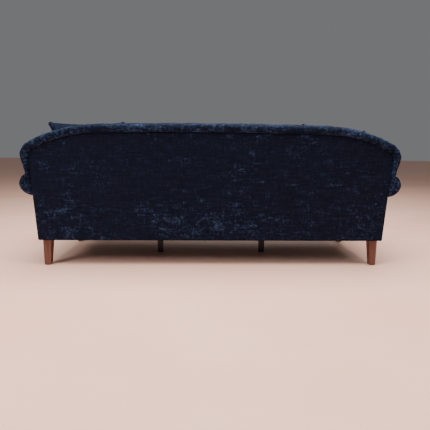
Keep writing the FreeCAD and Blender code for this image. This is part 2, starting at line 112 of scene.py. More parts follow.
def close_up(bm, middle=None):
    """Merges a tube's seam and turns the faces outwards, away from a middle point if one is given."""
    bmesh.ops.remove_doubles(bm, verts=bm.verts, dist=1e-5)
    bmesh.ops.recalc_face_normals(bm, faces=bm.faces)
    if middle is not None:
        outward = 0.0
        for face in bm.faces:
            outward += (face.calc_center_median() - middle).dot(face.normal) * face.calc_area()
        if outward < 0:
            bmesh.ops.reverse_faces(bm, faces=bm.faces)
    return bm


def walled_grid(columns, rows, place, wall, middle, rounding=0.0):
    """A grid whose rim goes back along wall and is rounded. Its faces turn away from middle."""
    bm = grid_over(columns, rows, place)
    rim = [edge for edge in bm.edges if edge.is_boundary]
    grown = bmesh.ops.extrude_edge_only(bm, edges=rim)
    walls = [part for part in grown["geom"] if isinstance(part, bmesh.types.BMVert)]
    bmesh.ops.translate(bm, verts=walls, vec=wall)
    if rounding:
        bmesh.ops.bevel(bm, geom=rim, offset=rounding, segments=3, profile=0.5, affect="EDGES", material=-1)
    return close_up(bm, middle)


def finish_with(piece, thickness=0.0, levels=0):
    """Gives a sheet its thickness inwards, then smooths it."""
    if thickness:
        wall = piece.modifiers.new("wall", "SOLIDIFY")
        wall.thickness = thickness
        wall.offset = -1
    if levels:
        smooth = piece.modifiers.new("smooth", "SUBSURF")
        smooth.levels = levels
        smooth.render_levels = levels
    return piece


def soft_step(value, low, high):
    """0 below low, 1 above high, and a smooth turn between."""
    t = min(max((value - low) / (high - low), 0.0), 1.0)
    return t * t * (3 - 2 * t)


def lumps(point, size, depth, seed=0.0):
    """Low, slow unevenness of stuffing under cloth."""
    return depth * noise.noise(point / size + Vector((seed, seed * 0.7, -seed)))


def belongs(piece, body, *replaced, slot="velvet", fill=None):
    """Puts a piece on its body and hides the CAD nodes that it takes the place of. The slot is not used."""
    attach(piece, body)
    if replaced:
        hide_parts(*replaced)


print("cloth helpers: a grid over a shape, and the same with a wall behind its rim")

# %% [markdown]
# ## Piping
# Piping is a cord in a bias-cut strip, sewn into a seam. It could be a curve with a bevel. A tube swept
# along the seam's own points is used instead, because it can follow points that a cloth simulation has
# moved.

# %% A tube that follows a closed or open line
def piping(name, line, radius, closed, material, sides=8):
    """A round tube along a list of points."""
    count = len(line)

    def turn_at(i):
        ahead = line[(i + 1) % count] if closed else line[min(i + 1, count - 1)]
        before = line[i - 1] if closed else line[max(i - 1, 0)]
        return (ahead - before).normalized()

    side = turn_at(0).orthogonal().normalized()
    rings = []
    for i in range(count):
        along = turn_at(i)
        side = (side - along * side.dot(along)).normalized()
        rings.append((line[i], side.copy(), along.cross(side)))

    def place(u, v):
        point, a, b = rings[round(u * (count if closed else count - 1)) % count]
        angle = 2 * math.pi * (round(v * sides) % sides) / sides
        return point + radius * (math.cos(angle) * a + math.sin(angle) * b)

    bm = grid_over(count if closed else count - 1, sides, place)
    bmesh.ops.remove_doubles(bm, verts=bm.verts, dist=1e-6)
    if not closed:
        bmesh.ops.holes_fill(bm, edges=[edge for edge in bm.edges if edge.is_boundary], sides=sides)
    bmesh.ops.recalc_face_normals(bm, faces=bm.faces)
    return new_piece(name, bm, material)


print("piping: a round tube along a seam's points")

# %% [markdown]
# ## Materials
# Crushed velvet is dark where the pile stands towards the eye and bluer where it has been pressed flat. The
# pressed patches are a few centimetres across, run sideways and have crisp edges. A node group makes the
# crush once, and every velvet material uses it with its own values.

# %% Helpers for building node trees
def node(tree, kind, **values):
    """A new node with some of its settings."""
    made = tree.nodes.new(kind)
    for name, value in values.items():
        setattr(made, name, value)
    return made


def ramp(tree, stops):
    """A colour ramp from (position, colour) pairs."""
    made = tree.nodes.new("ShaderNodeValToRGB")
    elements = made.color_ramp.elements
    while len(elements) < len(stops):
        elements.new(0.5)
    for element, (position, colour) in zip(elements, stops):
        element.position = position
        element.color = (*colour, 1)
    return made


def math_node(tree, operation, a, b):
    """The result of a sum or product of two sockets or numbers."""
    made = node(tree, "ShaderNodeMath", operation=operation)
    for socket, value in zip(made.inputs, (a, b)):
        if isinstance(value, bpy.types.NodeSocket):
            tree.links.new(value, socket)
        else:
            socket.default_value = value
    return made.outputs[0]


def group_with(name, inputs, outputs):
    """An empty shader group with named sockets."""
    group = bpy.data.node_groups.new(name, "ShaderNodeTree")
    for label, kind, value in inputs:
        socket = group.interface.new_socket(name=label, in_out="INPUT", socket_type=kind)
        if value is not None:
            socket.default_value = value
    for label, kind in outputs:
        group.interface.new_socket(name=label, in_out="OUTPUT", socket_type=kind)
    return group, group.nodes.new("NodeGroupInput"), group.nodes.new("NodeGroupOutput")


def noise_map(tree, coordinates, scale, detail=4.0, rough=0.55, distortion=0.0):
    """Noise from about 0 to 1, read at the coordinates."""
    made = node(tree, "ShaderNodeTexNoise")
    tree.links.new(coordinates, made.inputs["Vector"])
    made.inputs["Scale"].default_value = scale
    made.inputs["Detail"].default_value = detail
    made.inputs["Roughness"].default_value = rough
    made.inputs["Distortion"].default_value = distortion
    return made.outputs[0]


def new_material(name):
    """A material, its tree, its shader and the piece's own coordinates."""
    material = bpy.data.materials.new(name)
    material.use_nodes = True
    tree = material.node_tree
    return material, tree, tree.nodes["Principled BSDF"], node(tree, "ShaderNodeTexCoord").outputs["Object"]


def map_onto(tree, value, low, high, socket):
    """Maps a value from 0 to 1 onto low to high, and feeds a socket with it."""
    made = node(tree, "ShaderNodeMapRange")
    made.inputs["To Min"].default_value = low
    made.inputs["To Max"].default_value = high
    tree.links.new(value, made.inputs["Value"])
    tree.links.new(made.outputs[0], socket)
    return made


def raise_by(tree, height, strength, distance, shader):
    """Feeds the shader's normal with a bump."""
    bump = node(tree, "ShaderNodeBump")
    bump.inputs["Strength"].default_value = strength
    bump.inputs["Distance"].default_value = distance
    tree.links.new(height, bump.inputs["Height"])
    tree.links.new(bump.outputs[0], shader.inputs["Normal"])


print("helpers for node trees ready")

# %% [markdown]
# ### The crush, as one group
# The patches could be painted by hand. Here noise of several sizes is added up and cut off sharply, which
# gives patches with crisp edges that never repeat. Stretched noise adds the runs of pile, across and
# upward. The group gives out only values, and each velvet turns them into its own colour and gloss.

# %% The crush of velvet
def stretched(tree, vector, scale):
    """Coordinates stretched along the axes."""
    mapping = node(tree, "ShaderNodeMapping")
    mapping.inputs["Scale"].default_value = scale
    tree.links.new(vector, mapping.inputs["Vector"])
    return mapping.outputs[0]


def weighted(tree, parts):
    """The sum of several values, each times its weight."""
    total = None
    for value, weight in parts:
        term = math_node(tree, "MULTIPLY", value, weight)
        total = term if total is None else math_node(tree, "ADD", total, term)
    return total


def crush_group():
    """Pressed: where the pile lies flat. Fine: thread-wise unevenness. Height: for the bump."""
    group, source, out = group_with(
        "velvet_crush",
        [("Vector", "NodeSocketVector", None), ("Amount", "NodeSocketFloat", 0.5),
         ("Seed", "NodeSocketVector", None)],
        [("Pressed", "NodeSocketFloat"), ("Fine", "NodeSocketFloat"), ("Height", "NodeSocketFloat")],
    )
    shift = node(group, "ShaderNodeVectorMath", operation="ADD")
    group.links.new(source.outputs["Vector"], shift.inputs[0])
    group.links.new(source.outputs["Seed"], shift.inputs[1])
    where = shift.outputs[0]
    clouds = noise_map(group, stretched(group, where, (0.8, 0.8, 1.25)), 4.2, 3.0, 0.5, 0.7)
    patches = noise_map(group, stretched(group, where, (0.8, 0.8, 1.3)), 13.0, 3.0, 0.6, 0.8)
    grains = noise_map(group, where, 62.0, 4.0, 0.68, 0.5)
    across = noise_map(group, stretched(group, where, (0.22, 0.22, 1.7)), 62.0, 3.0, 0.6)
    upward = noise_map(group, stretched(group, where, (1.7, 1.7, 0.22)), 70.0, 3.0, 0.6)
    pile = noise_map(group, where, 620.0, 2.0, 0.6)
    amount = math_node(group, "SUBTRACT", source.outputs["Amount"], 0.5)
    blend = weighted(group, [(clouds, 0.28), (patches, 0.48), (grains, 0.7), (across, 0.24), (upward, 0.16),
                             (amount, 0.5)])
    sharp = node(group, "ShaderNodeMapRange", interpolation_type="SMOOTHSTEP")
    sharp.inputs["From Min"].default_value = 0.95
    sharp.inputs["From Max"].default_value = 1.3
    group.links.new(blend, sharp.inputs["Value"])
    group.links.new(sharp.outputs[0], out.inputs["Pressed"])
    group.links.new(weighted(group, [(across, 0.42), (upward, 0.33), (grains, 0.25)]), out.inputs["Fine"])
    height = weighted(group, [(patches, 0.7), (grains, 0.5), (across, 0.16), (upward, 0.12), (pile, 0.07)])
    group.links.new(height, out.inputs["Height"])
    return group


crush = crush_group()
print("crush group:", len(crush.nodes), "nodes")

# %% [markdown]
# ### The velvets
# Pressed pile lies flat, so it is bluer and glossier, and standing pile is dark and dull. The Pressed value
# mixes the two. A little sheen gives the bright edge that pile has when seen from the side. One material
# could cover everything, but the rolled edge and the arms get more pressed patches than the flat back: the
# cloth is crushed, and the extra bright patches are painted highlight of the overhead light on the roll. The
# back panel has more patches low down and fewer high up, which paints the floor's bounce light below and
# shade above.

# %% Velvet materials
def velvet(name, amount, seed=0.0, painted_floor_bounce=False, depth=0.006):
    """Crushed velvet. When asked, it paints light from the floor's bounce: the lower part of the piece gets
    more bright pressed patches than the upper, and the upper part gets fewer, as painted shade.
    """
    material, tree, shader, place = new_material(name)
    effect = node(tree, "ShaderNodeGroup", node_tree=crush)
    tree.links.new(place, effect.inputs["Vector"])
    effect.inputs["Seed"].default_value = (seed, seed * 1.7, seed * 0.6)
    effect.inputs["Amount"].default_value = amount
    # painted light: more bright pressed patches low down, where the floor's bounce light falls, and fewer
    # high up as painted shade
    if painted_floor_bounce:
        split = node(tree, "ShaderNodeSeparateXYZ")
        tree.links.new(place, split.inputs[0])
        painted_bounce_fade = map_onto(tree, split.outputs["Z"], amount + 0.06, amount - 0.1, effect.inputs["Amount"])
        painted_bounce_fade.interpolation_type = "SMOOTHSTEP"
        painted_bounce_fade.inputs["From Min"].default_value = 0.3
        painted_bounce_fade.inputs["From Max"].default_value = 0.6
    base = ramp(tree, [(0.32, (0.0008, 0.0018, 0.0062)), (0.5, (0.0022, 0.0045, 0.0145)),
                       (0.68, (0.0072, 0.0122, 0.031))])
    tree.links.new(effect.outputs["Fine"], base.inputs[0])
    crushed = ramp(tree, [(0.32, (0.006, 0.0145, 0.042)), (0.68, (0.038, 0.071, 0.158))])
    tree.links.new(effect.outputs["Fine"], crushed.inputs[0])
    mix = node(tree, "ShaderNodeMix", data_type="RGBA")
    tree.links.new(effect.outputs["Pressed"], mix.inputs["Factor"])
    tree.links.new(base.outputs[0], mix.inputs[6])
    tree.links.new(crushed.outputs[0], mix.inputs[7])
    tree.links.new(mix.outputs[2], shader.inputs["Base Color"])
    map_onto(tree, effect.outputs["Pressed"], 0.84, 0.5, shader.inputs["Roughness"])
    raise_by(tree, effect.outputs["Height"], 0.7, depth, shader)
    shader.inputs["Specular IOR Level"].default_value = 0.09
    shader.inputs["Sheen Weight"].default_value = 0.12
    shader.inputs["Sheen Roughness"].default_value = 0.4
    shader.inputs["Sheen Tint"].default_value = (0.14, 0.26, 0.6, 1)
    return material


# the back panel gets painted floor-bounce light low down and painted shade high up
back_velvet = velvet("back_panel_velvet", 0.5, 0.0, painted_floor_bounce=True)
# more pressed patches than the back: crushed cloth, with extra bright patches as painted highlight of the
# overhead light on the roll
frame_velvet = velvet("arm_and_roll_velvet", 0.64, 3.1, depth=0.012)
cushion_velvet = velvet("cushion_velvet", 0.55, 7.4, depth=0.008)
piping_velvet = velvet("piping_velvet", 0.66, 5.2)
print("velvets:", back_velvet.name, frame_velvet.name, cushion_velvet.name, piping_velvet.name)

# %% [markdown]
# The legs are solid wood with a red-brown stain. The grain runs down the leg, so the noise is stretched
# along Z. The stain gathers in the open grain, which makes the fine dark lines.

# %% Stained and plain wood
def wood(name, light, dark, grain_scale, along="Z", gloss=(0.42, 0.6), coat=0.0):
    """Wood whose grain runs along one axis of the piece."""
    material, tree, shader, place = new_material(name)
    length = stretched(tree, place, {"X": (0.06, 1, 1), "Y": (1, 0.06, 1), "Z": (1, 1, 0.06)}[along])
    figure = noise_map(tree, length, grain_scale, 6.0, 0.6, 1.2)
    pores = noise_map(tree, length, grain_scale * 9, 3.0, 0.7, 0.2)
    mixed = weighted(tree, [(figure, 0.7), (pores, 0.35)])
    between = tuple((a + b) / 2 for a, b in zip(light, dark))
    colour = ramp(tree, [(0.36, dark), (0.52, between), (0.68, light)])
    tree.links.new(mixed, colour.inputs[0])
    tree.links.new(colour.outputs[0], shader.inputs["Base Color"])
    map_onto(tree, mixed, gloss[1], gloss[0], shader.inputs["Roughness"])
    raise_by(tree, pores, 0.3, 0.0006, shader)
    shader.inputs["Coat Weight"].default_value = coat
    shader.inputs["Coat Roughness"].default_value = 0.35
    return material


leg_wood = wood("stained_leg_wood", (0.162, 0.054, 0.03), (0.051, 0.0134, 0.0075), 42.0, coat=0.1)
timber_along_x, timber_along_y, timber_along_z = [
    wood("frame_timber_" + axis.lower(), (0.6, 0.43, 0.26), (0.42, 0.27, 0.14), 24.0, axis) for axis in "XYZ"]
print("woods:", leg_wood.name, "and timber along each axis")

# %% [markdown]
# The other materials are small or hidden: black plastic supports, nylon glides, steel, webbing and dust
# cloth. Each gets its own grain or weave, at its own scale.

# %% Plain materials with a fine texture
def textured(name, colours, scale, rough, depth=0.0005, metal=0.0, weave=False):
    """A plain finish with fine grain, or with a weave."""
    material, tree, shader, place = new_material(name)
    grain = noise_map(tree, place, scale, 4.0, 0.6)
    height = grain
    if weave:
        warp = node(tree, "ShaderNodeTexWave", bands_direction="X")
        weft = node(tree, "ShaderNodeTexWave", bands_direction="Y")
        for thread in (warp, weft):
            thread.inputs["Scale"].default_value = scale
            thread.inputs["Distortion"].default_value = 0.3
            tree.links.new(place, thread.inputs["Vector"])
        height = math_node(tree, "MAXIMUM", warp.outputs["Fac"], weft.outputs["Fac"])
    colour = ramp(tree, [(0.3, colours[0]), (0.7, colours[1])])
    tree.links.new(grain, colour.inputs[0])
    tree.links.new(colour.outputs[0], shader.inputs["Base Color"])
    map_onto(tree, grain, rough[0], rough[1], shader.inputs["Roughness"])
    raise_by(tree, height, 0.5, depth, shader)
    shader.inputs["Metallic"].default_value = metal
    return material


support_plastic = textured("support_black_plastic", ((0.006, 0.006, 0.007), (0.014, 0.014, 0.015)), 160,
                           (0.42, 0.58))
glide_nylon = textured("glide_nylon", ((0.42, 0.4, 0.36), (0.55, 0.52, 0.47)), 200, (0.45, 0.6))
spring_steel = textured("spring_steel", ((0.3, 0.31, 0.33), (0.5, 0.51, 0.53)), 90, (0.3, 0.5), 0.0001, 1.0)
zinc = textured("zinc_plate", ((0.5, 0.51, 0.5), (0.68, 0.69, 0.68)), 120, (0.28, 0.45), 0.0001, 1.0)
webbing_cloth = textured("back_webbing_weave", ((0.03, 0.03, 0.034), (0.07, 0.07, 0.075)), 260, (0.75, 0.9),
                         0.0006, weave=True)
dust_cloth = textured("dust_cover_cloth", ((0.012, 0.012, 0.013), (0.026, 0.026, 0.028)), 320, (0.8, 0.95),
                      0.0004)
platform_cloth = textured("platform_cloth", ((0.008, 0.012, 0.024), (0.02, 0.028, 0.05)), 340, (0.75, 0.9),
                          weave=True)
print("materials so far:", len(bpy.data.materials))

# %% [markdown]
# ### Timber, metal and other hard parts
# The hard parts keep the shapes of the CAD model, so they only need a material. Each could be given one by
# its full name. Names that start alike are the same kind of part, so one table covers them all.

# %% Materials on the CAD nodes that stay
carried = {
    "leg_front": leg_wood, "leg_back": leg_wood, "centre_support": support_plastic, "leg_glides": glide_nylon,
    "seat_springs": spring_steel, "spring_clips": zinc, "leg_bolts": zinc, "leg_t_nuts": zinc,
    "back_webbing": webbing_cloth, "dust_cover": dust_cloth, "front_seat_rail": timber_along_x,
    "back_seat_rail": timber_along_x, "back_top_rail": timber_along_x, "side_rail": timber_along_y,
    "cross_rails": timber_along_y, "arm_top_rail": timber_along_y, "corner_blocks": timber_along_z,
    "back_post": timber_along_z, "back_mid_posts": timber_along_z, "arm_board": timber_along_z,
}
for name, cad_node in frame["nodes"].items():
    for start, material in carried.items():
        if name.startswith(start):
            cad_node.data.materials.clear()
            cad_node.data.materials.append(material)
print("materials on", len(carried), "kinds of CAD node")

# %% [markdown]
# ## The arched outline of the back
# The back's edge runs straight up, turns over a rounded shoulder and crosses in a shallow crown. It is
# three arcs on each side that meet without a corner. Walking along them at an even pace gives points for
# the rolled edge, and the same walk inset gives the panel's edge.

# %% A walk along the arch
roll_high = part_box("back_top_roll")[1]
side_x = roll_high.x
corner_radius, shoulder_radius = 0.105, 0.95
shoulder_slope, crown_slope = math.radians(27.0), math.radians(1.5)
roll_band, roll_rear, roll_front = 0.046, 0.014, -0.1
roll_top = (roll_high.z - leg_top + (roll_rear + roll_front) / 2 * rake_sin) / rake_cos


def arch_walk(inset, foot, step):
    """(x, up, outward x, outward up) along the left half of the arch, from its foot to the middle."""
    corner = corner_radius - inset
    shoulder = shoulder_radius - inset
    corner_x = side_x - corner_radius
    shoulder_x = corner_x - (shoulder - corner) * math.sin(shoulder_slope)
    crown = (shoulder_x + shoulder * math.sin(crown_slope)) / math.sin(crown_slope)
    crown_z = roll_top - inset - crown
    shoulder_z = crown_z + (crown - shoulder) * math.cos(crown_slope)
    corner_z = shoulder_z + (shoulder - corner) * math.cos(shoulder_slope)
    arcs = [(corner_x, corner_z, corner, 0.0, math.pi / 2 - shoulder_slope),
            (shoulder_x, shoulder_z, shoulder, math.pi / 2 - shoulder_slope, math.pi / 2 - crown_slope),
            (0.0, crown_z, crown, math.pi / 2 - crown_slope, math.pi / 2)]
    walk = []
    rise = max(round((corner_z - foot) / step), 1)
    for i in range(rise):
        walk.append((side_x - inset, foot + (corner_z - foot) * i / rise, 1.0, 0.0))
    for x, z, radius, start, end in arcs:
        count = max(round(radius * (end - start) / step), 2)
        for i in range(count):
            angle = start + (end - start) * i / count
            c, s = math.cos(angle), math.sin(angle)
            walk.append((x + radius * c, z + radius * s, c, s))
    walk.append((0.0, roll_top - inset, 0.0, 1.0))
    return walk


def whole_arch(inset, foot, step):
    """The walk over both halves, from the sitter's left to the sitter's right."""
    half = arch_walk(inset, foot, step)
    return half + [(-x, up, -out_x, out_up) for x, up, out_x, out_up in reversed(half[:-1])]


print("points along the roll:", len(whole_arch(0, 0.4, 0.008)))

# %% [markdown]
# ## Outside back panel
# One wide piece of velvet, pulled tight over card and tacked behind the rolled edge and under the frame. It
# could be a flat solid. It is a grid from its foot up to the arch instead, so that it can have the slight
# unevenness of pulled cloth, and its rim is rounded with a bevel where it turns into the seam.

# %% The panel
panel_inset = roll_band + 0.0015
tack_pitch = 0.052


def back_panel():
    # only the turn of the corners and the crown are its upper edge
    upper = [p for p in whole_arch(panel_inset, 0.001, 0.012) if p[1] > 0.5 and abs(p[2]) < 1.0]
    upper = [(side_x - panel_inset, upper[0][1] - 0.003)] + [(p[0], p[1]) for p in upper]
    upper.append((-upper[0][0], upper[0][1]))
    columns, rows = len(upper) - 1, 64

    def place(u, v):
        x_top, up_top = upper[round(u * columns)]
        x_foot = upper[0][0] * (1 - 2 * u)
        x = x_foot + (x_top - x_foot) * v
        up = up_top * v
        spread = min(upper[0][0] - abs(x), up, up_top - up)
        settle = soft_step(spread, 0.0, 0.12)
        point = Vector((x, up, 0))
        rear = settle * (lumps(point, 0.3, 0.0022, 2.0) + lumps(point, 0.11, 0.001, 5.0) - 0.0006)
        # small pulls where the cloth is tacked along its foot
        wave = x * 2 * math.pi / tack_pitch + 2 * noise.noise(Vector((x * 6, 0, 0)))
        rear += 0.0011 * math.exp(-up / 0.035) * math.sin(wave)
        return on_back(x, up, rear)

    inward = on_back(0, 0, -panel_cloth) - on_back(0, 0, 0)
    bm = walled_grid(columns, rows, place, inward, Vector((0, 0, 0.5)), rounding=0.0045)
    return new_piece("outside_back_velvet", bm, back_velvet)


outside_back = back_panel()
belongs(outside_back, "frame", "outside_back_panel")
print("back panel:", len(outside_back.data.polygons), "faces")

# %% [markdown]
# ## Rolled edge of the back
# A long sausage of stuffing under velvet, which runs up each side and over the top. The cloth is gathered
# at the shoulders, where its outer side has further to go, and is joined by a seam towards each end of the
# crown. A section swept along the arch gives the roll, and its points are pushed in for gathers and seams.

# %% The roll
roll_foot_up = 0.402
foot_draw_in = 0.019
seam_at, seam_depth = 0.93, 0.0045
broad_pitch, narrow_pitch = 0.046, 0.0195
broad_gather, narrow_gather = 0.0095, 0.003


def roll_section(angle):
    """(inset, rear) around the roll: a rounded block, wider than its band."""
    power = 0.62
    c, s = math.cos(angle), math.sin(angle)
    across = math.copysign(abs(c) ** power, c)
    through = math.copysign(abs(s) ** power, s)
    half_band = roll_band / 2 + 0.001
    half_depth = (roll_rear - roll_front) / 2
    inset = roll_band / 2 - across * half_band * 1.12
    rear = (roll_rear + roll_front) / 2 + through * half_depth
    return inset, rear


def rolled_edge():
    walk = whole_arch(0.0, roll_foot_up, 0.0065)
    count = len(walk)
    sides = 44
    distance = 0.0
    travelled = [0.0]
    for a, b in zip(walk, walk[1:]):
        distance += math.hypot(b[0] - a[0], b[1] - a[1])
        travelled.append(distance)

    def place(u, v):
        i = round(u * (count - 1))
        x, up, out_x, out_up = walk[i]
        angle = 2 * math.pi * (round(v * sides) % sides) / sides
        inset, rear = roll_section(angle)
        s = travelled[i]
        turning = math.exp(-((abs(x) - 1.1) / 0.12) ** 2) + 0.5 * math.exp(-((abs(x) - 0.94) / 0.13) ** 2)
        wander = 1.4 * noise.noise(Vector((s * 9, 0, 1.3)))
        broad = abs(math.sin(math.pi * s / broad_pitch + wander)) ** 0.7 - 0.6
        narrow = abs(math.sin(math.pi * s / narrow_pitch - wander)) ** 0.7 - 0.6
        toward_seam = 0.4 + 0.6 * soft_step(inset, 0.0, roll_band)
        push = (broad_gather * broad + narrow_gather * narrow) * turning * toward_seam
        way = Vector((s, angle * 0.03, 0))
        push += lumps(way, 0.075, 0.0034, 3.0) + lumps(way, 0.028, 0.0018, 9.0)
        push -= seam_depth * math.exp(-((abs(x) - seam_at) / 0.005) ** 2)
        middle_inset, middle_rear = roll_band / 2, (roll_rear + roll_front) / 2
        length = math.hypot(inset - middle_inset, rear - middle_rear)
        inset += push * (inset - middle_inset) / length
        rear += push * (rear - middle_rear) / length
        near_foot = 1 - soft_step(up, roll_foot_up + 0.03, roll_foot_up + 0.15)
        inset += foot_draw_in * near_foot * (1 - inset / roll_band)
        # both feet close to a rounded end that sinks into the arm
        end = min(i, count - 1 - i)
        shrink = [0.35, 0.72, 0.9, 0.98][end] if end < 4 else 1.0
        inset = middle_inset + (inset - middle_inset) * shrink
        rear = middle_rear + (rear - middle_rear) * shrink
        return on_back(x - out_x * inset, up - out_up * inset, rear)

    bm = grid_over(count - 1, sides, place)
    bmesh.ops.remove_doubles(bm, verts=bm.verts, dist=1e-6)
    bmesh.ops.holes_fill(bm, edges=[edge for edge in bm.edges if edge.is_boundary], sides=sides)
    bmesh.ops.recalc_face_normals(bm, faces=bm.faces)
    return new_piece("back_roll_velvet", bm, frame_velvet)


roll = rolled_edge()
belongs(roll, "frame", "back_top_roll", fill=0.85)
print("roll:", len(roll.data.polygons), "faces")

# %% [markdown]
# ## Inside back
# The fixed padding behind the loose cushions. Little of it shows: a strip below the roll and the corners
# above the arms. The CAD solid already has the right outline, so a copy of it is remeshed, smoothed and
# made a little uneven.

# %% A soft copy of a CAD solid
def soft_copy(node_name, name, voxel, rounds, unevenness, material):
    """Remeshes a CAD solid and rounds it, as wadding under cloth does."""
    source = frame["nodes"][node_name]
    bm = bmesh.new()
    bm.from_mesh(source.data)
    bmesh.ops.remove_doubles(bm, verts=bm.verts, dist=1e-6)
    piece = new_piece(name, bm, material)
    remesh = piece.modifiers.new("even", "REMESH")
    remesh.mode = "VOXEL"
    remesh.voxel_size = voxel
    apply_modifiers(piece)
    bm = bmesh.new()
    bm.from_mesh(piece.data)
    for _ in range(rounds):
        bmesh.ops.smooth_vert(bm, verts=bm.verts, factor=0.5, use_axis_x=True, use_axis_y=True,
                              use_axis_z=True)
    bm.normal_update()
    for vert in bm.verts:
        vert.co += vert.normal * lumps(vert.co, 0.16, unevenness, 1.0)
    bm.to_mesh(piece.data)
    bm.free()
    for polygon in piece.data.polygons:
        polygon.use_smooth = True
    return piece


def apply_modifiers(piece):
    """Keeps a piece as its modifiers leave it."""
    graph = bpy.context.evaluated_depsgraph_get()
    mesh = bpy.data.meshes.new_from_object(piece.evaluated_get(graph))
    old = piece.data
    piece.modifiers.clear()
    piece.data = mesh
    bpy.data.meshes.remove(old)


inside_back = soft_copy("inside_back_pad", "inside_back_velvet", 0.012, 5, 0.004, frame_velvet)
belongs(inside_back, "frame", "inside_back_pad", fill=0.8)
print("inside back:", len(inside_back.data.polygons), "faces")

# %% [markdown]
# ## Arms
# The cloth of an arm is one sheet. It is tucked beside the seat, rises over a padded bulge, leans out to
# the scroll and turns round under it to the outside arm. A grid follows that profile across the arm and
# runs from the facing to the back. The facing on the front, and the closed end of the scroll at the back,
# are made from the same profile.

# %% The arm's profile
pad_low, pad_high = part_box("arm_pad_left")
side_low, side_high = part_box("outside_arm_left")
scroll_radius, bulge_radius, arm_lean = 0.067, 0.12, math.radians(38.0)
scroll_x, scroll_z = pad_high.x - scroll_radius, pad_high.z - scroll_radius
bulge_x = pad_low.x + bulge_radius
lean_cos, lean_sin = math.cos(arm_lean), math.sin(arm_lean)
bulge_z = scroll_z - ((scroll_x - bulge_x) * lean_cos + bulge_radius - scroll_radius) / lean_sin
under_angle = -math.pi / 2 - math.asin((scroll_x - side_high.x) / scroll_radius)


def arm_walk(inset, foot, step=0.009):
    """(x, z, outward x, outward z) from the tuck at the seat to the underside of the scroll."""
    walk = []
    rise = max(round((bulge_z - foot) / step), 1)
    for i in range(rise):
        walk.append((pad_low.x + inset, foot + (bulge_z - foot) * i / rise, -1.0, 0.0))
    bulge = bulge_radius - inset
    turns = max(round(bulge * arm_lean / step), 2)
    for i in range(turns):
        angle = math.pi - arm_lean * i / turns
        c, s = math.cos(angle), math.sin(angle)
        walk.append((bulge_x + bulge * c, bulge_z + bulge * s, c, s))
    scroll = scroll_radius - inset
    start = (bulge_x - bulge * lean_cos, bulge_z + bulge * lean_sin)
    end = (scroll_x - scroll * lean_cos, scroll_z + scroll * lean_sin)
    run = max(round(math.dist(start, end) / step), 2)
    for i in range(run):
        t = i / run
        x, z = start[0] + (end[0] - start[0]) * t, start[1] + (end[1] - start[1]) * t
        walk.append((x, z, -lean_cos, lean_sin))
    sweep = math.pi - arm_lean - under_angle
    turns = max(round(scroll * sweep / step), 6)
    for i in range(turns + 1):
        angle = math.pi - arm_lean - sweep * i / turns
        c, s = math.cos(angle), math.sin(angle)
        walk.append((scroll_x + scroll * c, scroll_z + scroll * s, c, s))
    return walk


print("points across the arm:", len(arm_walk(0.0, pad_low.z)))

# %% [markdown]
# ### The sheet and the closed end
# The sheet could be an extruded profile. A grid is used so that each point knows how near it is to the
# facing and to the back, where the cloth rounds over, bunches and gathers. At the rear the scroll is closed
# by a gathered piece, whose rings of points are drawn in towards its middle.

# %% The sheet over an arm
facing_low, facing_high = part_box("arm_facing_left")


def arm_sheet(side):
    """Side is 1 for the sitter's left arm and -1 for the right."""
    walk = arm_walk(0.0, pad_low.z)
    across, along = len(walk) - 1, 92
    front = facing_low.y + 0.0045

    def place(u, v):
        x, z, out_x, out_z = walk[round(u * across)]
        rear = back_plane_y(z, -0.004)
        y = front + (rear - front) * (0.5 - 0.5 * math.cos(math.pi * v)) * 0.35 + (rear - front) * v * 0.65
        edge = min(y - front, rear - y)
        rounding = 0.009
        drop = rounding - math.sqrt(max(rounding ** 2 - max(rounding - edge, 0.0) ** 2, 0.0))
        point = Vector((x, y, z))
        swell = lumps(point, 0.12, 0.0032, side * 4.0) + lumps(point, 0.04, 0.0012, side * 6.0)
        # cloth drawn round the end of the scroll gathers into short folds
        fold = abs(math.sin(u * across * 0.62 + 1.5 * noise.noise(Vector((u * 9, side, 0))))) - 0.5
        gathers = 0.0026 * fold * (math.exp(-(rear - y) / 0.035) + 0.45 * math.exp(-(y - front) / 0.03))
        gathers *= soft_step(z, scroll_z - scroll_radius, scroll_z + 0.01)
        bunched = 0.006 * math.exp(-((rear - y - 0.02) / 0.05) ** 2)
        bunched *= soft_step(z, scroll_z - scroll_radius, scroll_z)
        lift = swell * soft_step(edge, 0.0, 0.05) + gathers + bunched - drop
        return Vector((side * (x + out_x * lift), y, z + out_z * lift))

    bm = grid_over(across, along, place)
    close_up(bm, Vector((side * (scroll_x - 0.01), 0, scroll_z - 0.12)))
    piece = new_piece("arm_velvet_" + ("left" if side > 0 else "right"), bm, frame_velvet)
    return finish_with(piece, thickness=0.006)


